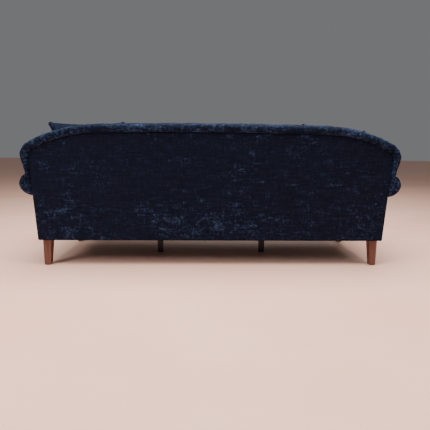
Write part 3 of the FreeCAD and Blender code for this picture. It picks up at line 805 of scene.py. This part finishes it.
def arm_end(side):
    """The gathered end of the scroll beside the back panel. Its straight edge is tucked behind the panel."""
    tuck = side_high.x - 0.005
    under = scroll_z - scroll_radius - 0.001
    rim = [(x - 0.002 * out_x, z - 0.002 * out_z) for x, z, out_x, out_z in arm_walk(0.0, pad_low.z, 0.006)
           if x > tuck and z > under]
    top, foot = rim[0][1], rim[-1][1]
    rim += [(tuck, foot + (top - foot) * i / 22) for i in range(23)]
    count, rings = len(rim), 12
    middle = (scroll_x + 0.022, scroll_z)

    def place(u, v):
        i = round(u * count) % count
        shrink = 1 - 0.985 * v ** 1.15
        x = middle[0] + (rim[i][0] - middle[0]) * shrink
        z = middle[1] + (rim[i][1] - middle[1]) * shrink
        bulge = 0.012 * math.sqrt(max(1 - (1 - min(v / 0.4, 1.0)) ** 2, 0.0))
        pleat = 0.0026 * math.sin(i * 1.05 + 0.8 * math.sin(i * 0.37))
        pleat *= math.sin(math.pi * min(v * 1.15, 1.0))
        clear_of_panel = soft_step(x, tuck, side_high.x + 0.012)
        rear = -0.0125 + 0.003 * min(v * 4, 1.0) + (bulge + pleat) * clear_of_panel
        return Vector((side * x, back_plane_y(z, rear), z))

    bm = grid_over(count, rings, place)
    close_up(bm)
    forward = sum(face.normal.y * face.calc_area() for face in bm.faces)
    if forward < 0:
        bmesh.ops.reverse_faces(bm, faces=bm.faces)
    piece = new_piece("arm_end_velvet_" + ("left" if side > 0 else "right"), bm, frame_velvet)
    return finish_with(piece, thickness=0.004)


for side, word in ((1, "left"), (-1, "right")):
    arm = arm_sheet(side)
    belongs(arm, "frame", "arm_pad_" + word, fill=0.8)
    belongs(arm_end(side), "frame", "arm_rear_cap_" + word)
    print(word, "arm:", len(arm.data.polygons), "faces")

# %% [markdown]
# ## Arm facings and outside arms
# A facing is a scroll-shaped board, padded, covered and fixed over the raw edges on the arm's front, with
# piping round it. It could be one face inset a few times, but insets fold over themselves in the narrow
# waist below the scroll. A grid drawn between the inner and the outer edge has no folds, and each point is
# set back by how near it lies to the outline. The outside arm is a plain tight panel.

# %% Facings with their piping
def inner_profile(z, inset):
    """X of the arm's inside edge at a height."""
    bulge, scroll = bulge_radius - inset, scroll_radius - inset
    if z < bulge_z:
        return pad_low.x + inset
    if z < bulge_z + bulge * lean_sin:
        return bulge_x - math.sqrt(bulge ** 2 - (z - bulge_z) ** 2)
    if z < scroll_z + scroll * lean_sin:
        return bulge_x - bulge * lean_cos + (z - bulge_z - bulge * lean_sin) * lean_sin / lean_cos
    return scroll_x - math.sqrt(max(scroll ** 2 - (z - scroll_z) ** 2, 0.0))


def facing_rows(inset):
    """(height, inner x, outer x) up the facing, from its foot to the top of the scroll."""
    foot, under = facing_low.z + inset, scroll_z - scroll_radius + inset
    scroll = scroll_radius - inset
    rows = []
    for i in range(34):
        z = foot + (under - foot) * i / 34
        rows.append((z, inner_profile(z, inset), side_high.x - inset))
    for i in range(37):
        angle = math.radians(-90 + 5 * i)
        z = scroll_z + scroll * math.sin(angle)
        rows.append((z, min(inner_profile(z, inset), scroll_x), scroll_x + scroll * math.cos(angle)))
    return rows


def facing_outline(inset):
    """Closed outline of the arm's front: up the inside, over the scroll and down the outside."""
    rows = facing_rows(inset)
    up = [(inner, z) for z, inner, _ in rows]
    down = [(outer, z) for z, _, outer in reversed(rows[:-1])]
    wide = rows[0][2] - rows[0][1]
    foot = [(rows[0][2] - wide * i / 16, rows[0][0]) for i in range(1, 16)]
    return up + down + foot


def facing(side):
    rows = facing_rows(0.003)
    outline = [Vector((x, z)) for x, z in facing_outline(0.003)]
    rounding = 0.006

    def place(u, v):
        z, inner, outer = rows[round(v * (len(rows) - 1))]
        spread = 0.6 * u + 0.4 * (0.5 - 0.5 * math.cos(math.pi * u))
        x = inner + (outer - inner) * spread
        near = min((Vector((x, z)) - point).length for point in outline)
        edge = rounding - math.sqrt(max(rounding ** 2 - max(rounding - near, 0.0) ** 2, 0.0))
        crown = 0.0035 * soft_step(near, 0.0, 0.05)
        crown += lumps(Vector((x, side, z)), 0.09, 0.001) * soft_step(near, 0.0, 0.03)
        return Vector((side * x, facing_low.y + 0.004 + edge - crown, z))

    bm = grid_over(24, len(rows) - 1, place)
    rim = [edge for edge in bm.edges if edge.is_boundary]
    grown = bmesh.ops.extrude_edge_only(bm, edges=rim)
    for part in grown["geom"]:
        if isinstance(part, bmesh.types.BMVert):
            part.co.y = facing_high.y
    close_up(bm, Vector((side * scroll_x, 0, 0.4)))
    return new_piece("facing_velvet_" + ("left" if side > 0 else "right"), bm, frame_velvet)


def outside_arm(side):
    low_y, foot, head = side_low.y + 0.0005, side_low.z, side_high.z - 0.001

    def place(u, v):
        z = foot + (head - foot) * v
        rear = back_plane_y(z, -panel_cloth - 0.001)
        y = low_y + (rear - low_y) * u
        spread = min(y - low_y, rear - y, z - foot, head - z)
        swell = soft_step(spread, 0.0, 0.1) * lumps(Vector((side, y, z)), 0.2, 0.0025, side * 2.0)
        return Vector((side * (side_high.x + swell), y, z))

    bm = walled_grid(64, 26, place, (-side * 0.007, 0, 0), Vector((0, 0, 0.3)), rounding=0.004)
    return new_piece("outside_arm_velvet_" + ("left" if side > 0 else "right"), bm, frame_velvet)


piping_radius = 0.004
facing_seam_inset, facing_seam_depth = 0.0032, 0.006
for side, word in ((1, "left"), (-1, "right")):
    belongs(facing(side), "frame", "arm_facing_" + word)
    belongs(outside_arm(side), "frame", "outside_arm_" + word)
    seam_y = facing_low.y + facing_seam_depth
    seam_line = [Vector((side * x, seam_y, z)) for x, z in facing_outline(facing_seam_inset)]
    belongs(piping("facing_piping_" + word, seam_line, piping_radius, True, piping_velvet), "frame")
print("facings and outside arms made")

# %% [markdown]
# ## Front border and platform
# The border covers the front rail below the cushions. It is a padded strip with a little pull at its tacks.
# The platform under the cushions is plain cloth over felt, quilted by rows of stitching that hold the
# springs.

# %% The border
border_low, border_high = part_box("seat_front_border")
quilt_across, quilt_along, quilt_depth = 0.241, 0.189, 0.0045


def front_border():
    def place(u, v):
        x = border_low.x + (border_high.x - border_low.x) * u
        z = border_low.z + (border_high.z - border_low.z) * v
        spread = min(x - border_low.x, border_high.x - x, z - border_low.z, border_high.z - z)
        swell = soft_step(spread, 0.0, 0.05) * (0.003 + lumps(Vector((x, 0, z)), 0.15, 0.0025))
        return Vector((x, border_low.y + 0.003 - swell, z))

    bm = walled_grid(150, 14, place, (0, 0.007, 0), Vector((0, 0, 0.3)), rounding=0.004)
    return new_piece("front_border_velvet", bm, frame_velvet)


def seat_deck():
    low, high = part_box("seat_platform")

    def place(u, v):
        x = low.x + (high.x - low.x) * u
        y = low.y + (high.y - low.y) * v
        column = abs(math.sin(math.pi * (x - low.x) / quilt_across)) ** 0.4
        row = abs(math.sin(math.pi * (y - low.y) / quilt_along)) ** 0.4
        return Vector((x, y, high.z - 0.005 + quilt_depth * (column * row)))

    bm = walled_grid(192, 76, place, (0, 0, -0.009), Vector((0, 0, 0)))
    return new_piece("platform_quilt", bm, platform_cloth)


belongs(front_border(), "frame", "seat_front_border")
belongs(seat_deck(), "frame", "seat_platform", slot="platform_cloth", fill=0.5)
print("border and platform made")

# %% [markdown]
# ## Turned-under hem
# The velvet is pulled round the foot of the frame and tacked under the rails, so that no timber shows from
# below. It could be part of each sheet, but one flat ring, a grid face inset and opened in its middle,
# covers the whole edge and meets all the sheets at one height.

# %% The hem
hem_width, hem_thickness = 0.03, 0.0012


def turned_under_hem():
    front, rear = border_low.y + 0.003, on_back(0, 0, -panel_cloth / 2).y
    wide = 2 * (side_high.x - 0.003)
    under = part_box("dust_cover")[0].z
    bm = bmesh.new()
    bmesh.ops.create_grid(bm, x_segments=1, y_segments=1, size=0.5)
    place = Matrix.Translation((0, (front + rear) / 2, under)) @ Matrix.Diagonal((wide, rear - front, 1, 1))
    bmesh.ops.transform(bm, matrix=place, verts=bm.verts)
    bmesh.ops.inset_region(bm, faces=list(bm.faces), thickness=hem_width, use_boundary=True,
                           use_even_offset=True)
    middle = max(bm.faces, key=lambda face: face.calc_area())
    bmesh.ops.delete(bm, geom=[middle], context="FACES")
    return new_piece("hem_velvet", bm, frame_velvet, smooth=False)


hem = turned_under_hem()
finish_with(hem, thickness=hem_thickness)
belongs(hem, "frame")
print("hem box", [[round(value, 3) for value in corner] for corner in hem.bound_box][::6])

# %% [markdown]
# ## Loose cushions
# A boxed cushion is two panels and a border strip, joined by piped seams. The seams can't stretch, so the
# panels swell between them and the seams draw in a little along each side. Cloth simulation makes that
# swelling. The start is a box of even squares whose seam points are pinned, so the piping can be laid on
# them afterwards.

# %% A box of even squares with drawn-in seams
def square_box(size, squares, corner, draw_in):
    """A box about the origin. Its plan corners are rounded and its sides bow in between them."""
    bm = bmesh.new()
    bmesh.ops.create_cube(bm, size=1)
    bmesh.ops.scale(bm, vec=size, verts=bm.verts)
    for axis in range(3):
        cuts = max(round(size[axis] / squares), 2) - 1
        edges = [edge for edge in bm.edges if abs((edge.verts[0].co - edge.verts[1].co)[axis]) > 1e-6]
        bmesh.ops.subdivide_edges(bm, edges=edges, cuts=cuts)
    half = [value / 2 for value in size]
    seam = bm.verts.layers.int.new("seam")
    for vert in bm.verts:
        x, y, z = vert.co
        rim = abs(x) > half[0] - 1e-5 or abs(y) > half[1] - 1e-5
        if rim and abs(z) > half[2] - 1e-5:
            vert[seam] = 1 if z > 0 else 2
    for vert in bm.verts:
        x, y, z = vert.co
        dx, dy = abs(x) - (half[0] - corner), abs(y) - (half[1] - corner)
        if dx > 0 and dy > 0:
            pull = max(dx, dy) / math.hypot(dx, dy)
            x = math.copysign(half[0] - corner + dx * pull, x)
            y = math.copysign(half[1] - corner + dy * pull, y)
        u, v = x / half[0], y / half[1]
        vert.co.x = x * (1 - draw_in * (1 - v * v) * abs(u) ** 3 / half[0])
        vert.co.y = y * (1 - draw_in * (1 - u * u) * abs(v) ** 3 / half[1])
    return bm


print("box of even squares ready")

# %% [markdown]
# ### Swelling
# A formula could dome a cover, but stuffing pushes cloth out unevenly and wrinkles it near its seams. The
# pressure of the cloth modifier does that. A point that has gone far is eased back, so that the cushion
# keeps near its real size.

# %% Swelling by cloth simulation
def swell_cloth(piece, pressure, frames, cap, ease, pins=None):
    """Blows a closed cover up, then limits how far each point has gone."""
    start = [vert.co.copy() for vert in piece.data.vertices]
    cloth = piece.modifiers.new("cloth", "CLOTH")
    settings = cloth.settings
    settings.quality = 5
    settings.mass = 0.35
    settings.tension_stiffness = 18
    settings.compression_stiffness = 18
    settings.shear_stiffness = 6
    settings.bending_stiffness = 0.4
    settings.use_pressure = True
    settings.uniform_pressure_force = pressure
    settings.shrink_min = -ease
    settings.effector_weights.gravity = 0
    cloth.collision_settings.use_collision = False
    if pins:
        settings.vertex_group_mass = pins
        settings.pin_stiffness = 1.0
    cloth.point_cache.frame_start = 1
    cloth.point_cache.frame_end = frames
    for step in range(1, frames + 1):
        bpy.context.scene.frame_set(step)
    done = piece.evaluated_get(bpy.context.evaluated_depsgraph_get())
    moved = [vert.co.copy() for vert in done.data.vertices]
    piece.modifiers.remove(cloth)
    bpy.context.scene.frame_set(1)
    longest = 0.0
    for vert, was, now in zip(piece.data.vertices, start, moved):
        travel = now - was
        longest = max(longest, travel.length)
        if travel.length > 1e-9:
            vert.co = was + travel.normalized() * cap * math.tanh(travel.length / cap)
    print(piece.name, "swelled; longest travel", round(longest * 1000, 1), "mm")

# %% [markdown]
# ### A boxed cushion
# The box gets its dome first, is blown up, and is then pressed flat below and at its sides, where it lies
# on the platform and against its neighbours. The piping could be part of the cover. It is laid on the
# points of the seam last, so that it follows them.

# %% One boxed cushion with piping
def press_flat(piece, side, base):
    """What a cushion lies on, and what stands beside it, presses it flat where it would swell past them."""
    for vert in piece.data.vertices:
        past = abs(vert.co.x) - side
        if past > 0:
            vert.co.x -= math.copysign(0.9 * past, vert.co.x)
        vert.co.z = max(vert.co.z, 0.1 * vert.co.z - 0.9 * base)


square, seam_drop, seam_draw_in = 0.0155, 0.016, 0.006
border_ease = 0.006
cushion_side_room, free_swell = 0.003, 0.02


def seam_order(piece, loop):
    """The numbers of a seam's points, in their order round the cushion."""
    points = piece.data.vertices
    return sorted(loop, key=lambda i: math.atan2(points[i].co.y, points[i].co.x))


def boxed_cushion(name, size, crowns, sides, frames, place, corner, body, cad, seed):
    """A boxed cushion about the origin, put in its place. Crowns are how far its face and its base dome."""
    face_crown, base_crown = crowns
    core = Vector((size[0] - 2 * sides, size[1] - 2 * sides, size[2] - seam_drop - border_ease))
    bm = square_box(core, square, corner, seam_draw_in)
    seam = bm.verts.layers.int["seam"]
    bm.verts.index_update()
    loops = {1: [], 2: []}
    half = core / 2
    for vert in bm.verts:
        if vert[seam]:
            loops[vert[seam]].append(vert.index)
        u, v, w = vert.co.x / half.x, vert.co.y / half.y, vert.co.z / half.z
        rise = (1 - u ** 4) * (1 - v ** 4)
        hollow = noise.noise(Vector((vert.co.x * 6 + seed, vert.co.y * 6, seed)))
        if w > 1 - 1e-4:
            vert.co.z += rise * (face_crown + 0.3 * face_crown * hollow)
        elif w < -1 + 1e-4:
            vert.co.z -= rise * base_crown
        else:
            belly = sides * 0.8 * (1 - w * w)
            vert.co.x += belly * math.copysign(abs(u) ** 8, u) * (1 - v ** 6)
            vert.co.y += belly * math.copysign(abs(v) ** 8, v) * (1 - u ** 6)
    piece = new_piece(name, bm, cushion_velvet)
    pins = piece.vertex_groups.new(name="seams")
    pins.add(loops[1] + loops[2], 1.0, "REPLACE")
    swell_cloth(piece, pressure=3.5, frames=frames, cap=0.007, ease=0.03, pins="seams")
    piece.vertex_groups.clear()
    # a base with no crown lies on something flat, and one with a crown is free to swell
    free_base = free_swell if base_crown else 0.0
    press_flat(piece, size.x / 2 - cushion_side_room, half.z + base_crown + free_base)
    lines = [[place @ piece.data.vertices[i].co for i in seam_order(piece, loop)] for loop in loops.values()]
    piece.data.transform(place)
    finish_with(piece, levels=1)
    belongs(piece, body, *cad, fill=0.85)
    for word, line in zip(("face", "base"), lines):
        belongs(piping(name + "_piping_" + word, line, piping_radius, True, piping_velvet), body)
    return piece


print("boxed cushions: piping", piping_radius * 2000, "mm thick")

# %% [markdown]
# ### Seat cushions
# Foam with a soft wrap, firm and full. They fill the seat from arm to arm and stand a little in front of
# the border.

# %% Three seat cushions
for number, word in enumerate(("left", "centre", "right")):
    low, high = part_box("seat_cushion_cover_" + word)
    size = high - low
    middle = Vector(((low.x + high.x) / 2, (low.y + high.y) / 2, (low.z + high.z) / 2 - 0.005))
    made = boxed_cushion("seat_cushion_velvet_" + word, size, crowns=(0.016, 0.0), sides=0.004, frames=16,
                         place=Matrix.Translation(middle), corner=0.035, body="seat_cushion_" + word,
                         cad=("seat_cushion_cover_" + word, "seat_cushion_core_" + word), seed=number * 3.7)
    print(made.name, len(made.data.polygons), "faces")

# %% [markdown]
# ### Back cushions
# Softer and thicker than the seat, filled with feather and fibre. Each one is made lying flat, then turned
# up and leaned like the back, because a cushion's maker and a simulation both find it easier to work flat.

# %% Three back cushions
back_cushion_tall, back_cushion_thick = 0.4, 0.17
back_cushion_rear = -0.131


def upright_turn(x, foot_up, rear):
    """Turns a cushion that lies on its back at the origin up onto the leaning back."""
    turn = Matrix.Rotation(math.pi / 2 - math.asin(rake_sin), 4, "X")
    return Matrix.Translation(on_back(x, foot_up, rear)) @ turn


for number, word in enumerate(("left", "centre", "right")):
    low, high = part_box("back_cushion_cover_" + word)
    size = Vector((high.x - low.x, back_cushion_tall, back_cushion_thick))
    rear = back_cushion_rear - size.z / 2 - 0.004
    top_up = (high.z - leg_top + (back_cushion_rear - size.z / 2) * rake_sin) / rake_cos
    place = upright_turn((low.x + high.x) / 2, top_up - back_cushion_tall / 2 - 0.003, rear)
    made = boxed_cushion("back_cushion_velvet_" + word, size, crowns=(0.028, 0.004), sides=0.007, frames=18,
                         place=place, corner=0.045, body="back_cushion_" + word,
                         cad=("back_cushion_cover_" + word, "back_cushion_filling_" + word),
                         seed=number * 2.9 + 1)
    print(made.name, len(made.data.polygons), "faces")

# %% [markdown]
# ### Scatter cushions
# Two squares of velvet sewn together and filled with feather. The seam has no border, so the corners stand
# out as points and the edges between them draw in. The simulation could give all of that from a flat case,
# but its folds would change with the smallest change of size. So the fullness, the dents and the creases at
# the corners are shaped first, and the simulation only swells them. Each one is then leaned against the back
# cushions beside an arm, where its filling sinks.

# %% Two scatter cushions
scatter_side, scatter_case = 0.545, 0.012
scatter_square, scatter_corner = 0.0135, 0.03
scatter_fullness, scatter_draw_in = 0.06, 0.02
scatter_seam_radius = 0.0022


def scatter_cushion(word, side, place, sag):
    """A cushion about the origin. It sags as sag(point) says, and is put in its place."""
    bm = square_box(Vector((scatter_side, scatter_side, scatter_case)), scatter_square, scatter_corner, 0.0)
    seam = bm.verts.layers.int["seam"]
    bm.verts.ensure_lookup_table()
    half = scatter_side / 2
    for vert in bm.verts:
        u, v = vert.co.x / half, vert.co.y / half
        full = (1 - abs(u) ** 2.6) * (1 - abs(v) ** 2.6)
        pinch = scatter_draw_in * (1 - u * u) * abs(v) ** 4
        pull = scatter_draw_in * (1 - v * v) * abs(u) ** 4
        vert.co.z = vert.co.z * 0.5 + math.copysign(scatter_fullness * max(full, 0) ** 0.6, vert.co.z)
        dent = noise.noise(Vector((vert.co.x * 8, vert.co.y * 8, side * 3 + vert.co.z * 20)))
        from_corner = math.hypot(1 - abs(u), 1 - abs(v))
        crease = math.sin(math.atan2(1 - abs(v), 1 - abs(u)) * 14 + 3 * dent)
        crease *= math.exp(-((from_corner - 0.34) / 0.22) ** 2)
        vert.co.z += math.copysign(0.009 * dent + 0.0032 * crease, vert.co.z) * max(full, 0) ** 0.4
        vert.co.y -= math.copysign(pinch, vert.co.y)
        vert.co.x -= math.copysign(pull, vert.co.x)
    line = [vert.index for vert in bm.verts if vert[seam] == 1]
    piece = new_piece("scatter_velvet_" + word, bm, cushion_velvet)
    swell_cloth(piece, pressure=3.4, frames=18, cap=0.014, ease=0.06)
    data = piece.data
    ordered = seam_order(piece, line)
    for vert in data.vertices:
        vert.co = sag(vert.co)
    data.transform(place)
    points = [data.vertices[i].co.copy() for i in ordered]
    finish_with(piece, levels=1)
    body = "scatter_cushion_" + word
    belongs(piece, body, "scatter_cover_" + word, "scatter_pad_" + word, fill=0.6)
    belongs(piping("scatter_seam_" + word, points, scatter_seam_radius, True, piping_velvet), body)
    print(piece.name, len(data.polygons), "faces")


def lean_back(x, height, rear, lean, roll):
    """Stands a flat cushion up at a place on the back, leaned and rolled a little in its own plane."""
    stand = Matrix.Rotation(math.radians(90 - lean), 4, "X")
    spin = Matrix.Rotation(math.radians(roll), 4, "Z")
    return Matrix.Translation((x, back_plane_y(height, rear), height)) @ stand @ spin


def settle(side, shear, squash, pinch, tilt):
    """Filling sinks: the lower half is fuller and slides away from the arm, and the head slumps."""
    def move(point):
        low = soft_step(-point.y / scatter_side, -0.5, 0.5)
        high = 1 - low
        x = point.x * (1 - pinch * high) - side * shear * low
        y = point.y * squash + tilt * point.x * high
        return Vector((x, y, point.z * (0.85 + 0.4 * low)))
    return move


scatter_rear, scatter_lean = -0.382, 10.5
scatter_cushion("left", 1, lean_back(0.86, 0.72, scatter_rear, scatter_lean, 0.4),
                settle(1, shear=0.1, squash=0.855, pinch=0.0, tilt=-0.016))
scatter_cushion("right", -1, lean_back(-0.852, 0.709, scatter_rear, scatter_lean, 0.0),
                settle(-1, shear=0.085, squash=0.81, pinch=0.13, tilt=0.085))

# %% [markdown]
# ## Floor, light and camera
# A plain pale floor and soft light from above, with a broader lamp on the sitter's left. The camera stands
# behind the sofa and looks a little down at it.

# %% Floor
def pale_floor():
    bm = bmesh.new()
    bmesh.ops.create_circle(bm, cap_ends=True, segments=96, radius=30)
    floor = new_piece("studio_floor", bm, None, smooth=False)
    material, tree, shader, place = new_material("pale_floor")
    clouds = noise_map(tree, place, 1.3, 5.0, 0.6)
    colour = ramp(tree, [(0.3, (0.96, 0.53, 0.39)), (0.7, (0.98, 0.6, 0.46))])
    tree.links.new(clouds, colour.inputs[0])
    tree.links.new(colour.outputs[0], shader.inputs["Base Color"])
    shader.inputs["Roughness"].default_value = 0.6
    floor.data.materials.append(material)
    return floor


print("floor:", pale_floor().name)

# %% [markdown]
# ### Light
# Velvet shows its patches best in soft light, and a small lamp would make hard glints. So every lamp is a
# large rectangle: one overhead, two behind the sofa and a weak one that fills the front.

# %% Light
def area_light(name, place, aim, size, power, colour=(1, 1, 1)):
    data = bpy.data.lights.new(name, "AREA")
    data.shape = "RECTANGLE"
    data.size, data.size_y = size
    data.energy = power
    data.color = colour
    lamp = bpy.data.objects.new(name, data)
    lamp.location = place
    lamp.rotation_euler = (Vector(aim) - Vector(place)).to_track_quat("-Z", "Y").to_euler()
    bpy.context.scene.collection.objects.link(lamp)


area_light("overhead", (0, 0.7, 3.6), (0, 0.3, 0.3), (4.5, 3), 360, (1.0, 0.98, 0.96))
area_light("behind_left", (3.4, 3.4, 3.0), (0.5, 0.3, 0.5), (2.0, 1.6), 120, (0.92, 0.96, 1.0))
area_light("behind_right", (-3.6, 2.4, 3.8), (-0.7, 0.3, 0.6), (1.8, 1.5), 42, (0.92, 0.96, 1.0))
area_light("front_fill", (-1.5, -4.5, 3.6), (0, 0, 0.5), (3.5, 2.5), 52)
world = bpy.data.worlds.new("studio")
world.use_nodes = True
world.node_tree.nodes["Background"].inputs[0].default_value = (0.82, 0.83, 0.85, 1)
world.node_tree.nodes["Background"].inputs[1].default_value = 0.21
bpy.context.scene.world = world
print("lamps:", len(bpy.data.lights))

# %% [markdown]
# ### Camera
# The camera stands behind the sofa, near the height of its back, and looks a little down. The lens takes in
# the whole length from under three metres.

# %% Camera
camera_data = bpy.data.cameras.new("view_from_behind")
camera_data.sensor_width = 36.0
camera_data.lens = 32.23
camera = bpy.data.objects.new("view_from_behind", camera_data)
camera.location = (0.036, 2.809, 0.765)
camera.rotation_euler = [math.radians(angle) for angle in (80.253, -0.459, 178.771)]
bpy.context.scene.collection.objects.link(camera)
bpy.context.scene.camera = camera
print("camera", [round(value, 3) for value in camera.location])
